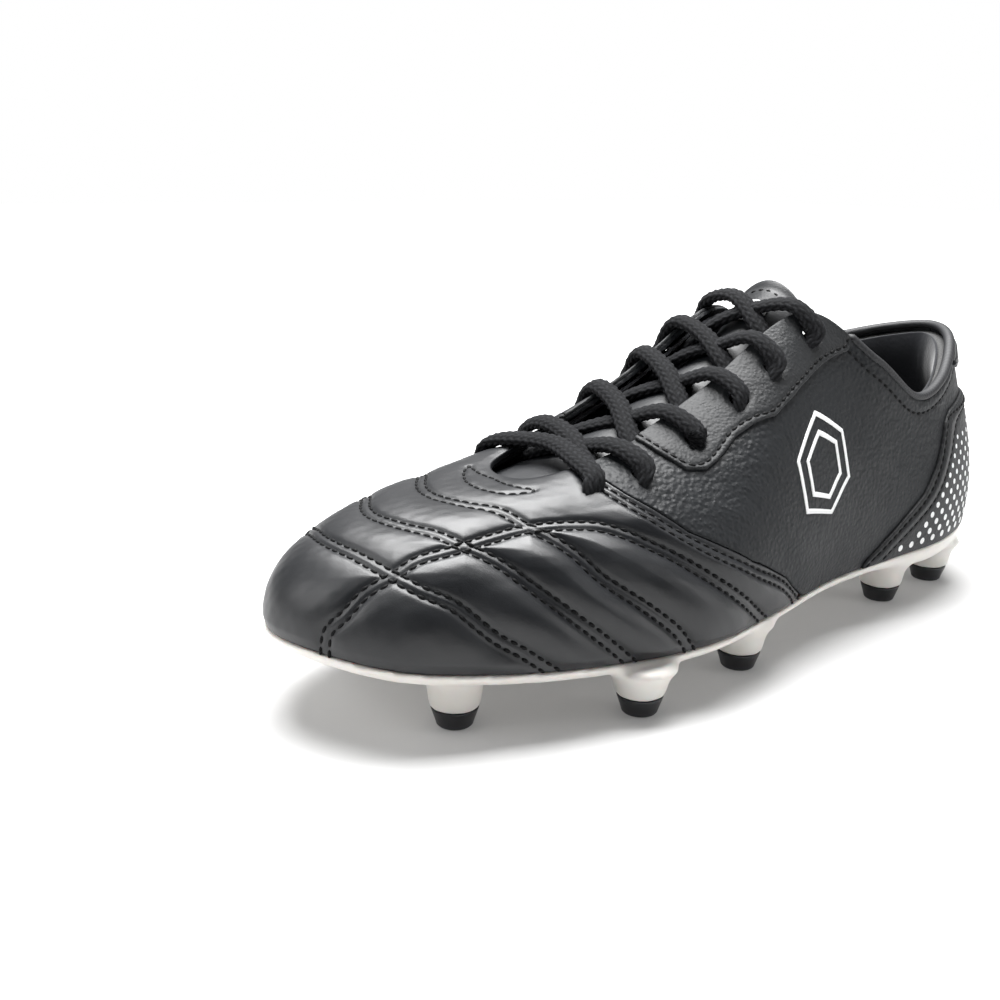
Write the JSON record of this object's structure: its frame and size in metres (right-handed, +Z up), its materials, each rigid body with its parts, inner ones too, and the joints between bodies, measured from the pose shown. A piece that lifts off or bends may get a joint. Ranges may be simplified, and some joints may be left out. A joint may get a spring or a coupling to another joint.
{
  "type": "soccer cleat",
  "caption": "Low-cut black leather soccer cleat for the left foot, laced, on a white moulded sole plate with black conical stud tips.",
  "frame": {"origin": "on the ground, under the middle of the shoe's length and width", "axes": "+X to the toe, +Y to the outer (lateral) side of a left foot, +Z up"},
  "size_m": [0.2807, 0.1005, 0.112],
  "materials": {
    "sole_plate": "moulded warm white TPU, satin gloss",
    "stud_tip": "moulded black TPU, satin",
    "insole_board": "pressed cellulose board, matt",
    "sockliner": "knitted cover on EVA foam, matt",
    "stiffener": "thermoplastic sheet, matt",
    "vamp_leather": "smooth coated black leather, glossy, puffed channels",
    "quarter_leather": "fine pebbled black leather, satin",
    "facing_leather": "fine-grained black leather overlay, matt",
    "heel_overlay": "black coated overlay with printed white dots, satin",
    "heel_tab": "smooth black leather, satin",
    "lining": "black brushed lining, matt",
    "foam": "open-cell foam, matt",
    "binding": "folded binding, satin",
    "print": "screen print, white",
    "tongue_leather": "soft black leather, satin",
    "lace": "braided polyester, black, satin",
    "aglet": "clear-coated film sleeve, black"
  },
  "bodies": {
    "shoe": {"outsole_plate": "sole_plate", "stud_tip_front_lateral": "stud_tip", "stud_tip_ball_lateral": "stud_tip", "stud_tip_rear_ball_lateral": "stud_tip", "stud_tip_heel_front_lateral": "stud_tip", "stud_tip_heel_rear_lateral": "stud_tip", "stud_tip_front_medial": "stud_tip", "stud_tip_ball_medial": "stud_tip", "stud_tip_rear_ball_medial": "stud_tip", "stud_tip_heel_front_medial": "stud_tip", "stud_tip_heel_rear_medial": "stud_tip", "insole_board": "insole_board", "sockliner": "sockliner", "toe_puff": "stiffener", "heel_stiffener": "stiffener", "vamp": "vamp_leather", "quarter_lateral": "quarter_leather", "quarter_medial": "quarter_leather", "facing_lateral": "facing_leather", "facing_medial": "facing_leather", "heel_counter_overlay": "heel_overlay", "heel_tab": "heel_tab", "vamp_lining": "lining", "quarter_lining_lateral": "lining", "quarter_lining_medial": "lining", "heel_lining": "lining", "collar_lining": "lining", "collar_padding": "foam", "collar_binding": "binding", "emblem_lateral": "print", "emblem_medial": "print", "lace": "lace", "aglet_lateral": "aglet", "aglet_medial": "aglet"},
    "tongue": {"tongue_face": "tongue_leather", "tongue_foam": "foam", "tongue_lining": "lining", "tongue_label": "print"}
  },
  "joints": [
    {"name": "tongue_fold", "type": "hinge", "parent": "shoe", "child": "tongue", "pos_m": [0.074, -0.004, 0.0537], "axis": [0, -1, 0], "range_deg": [0, 8]}
  ]
}
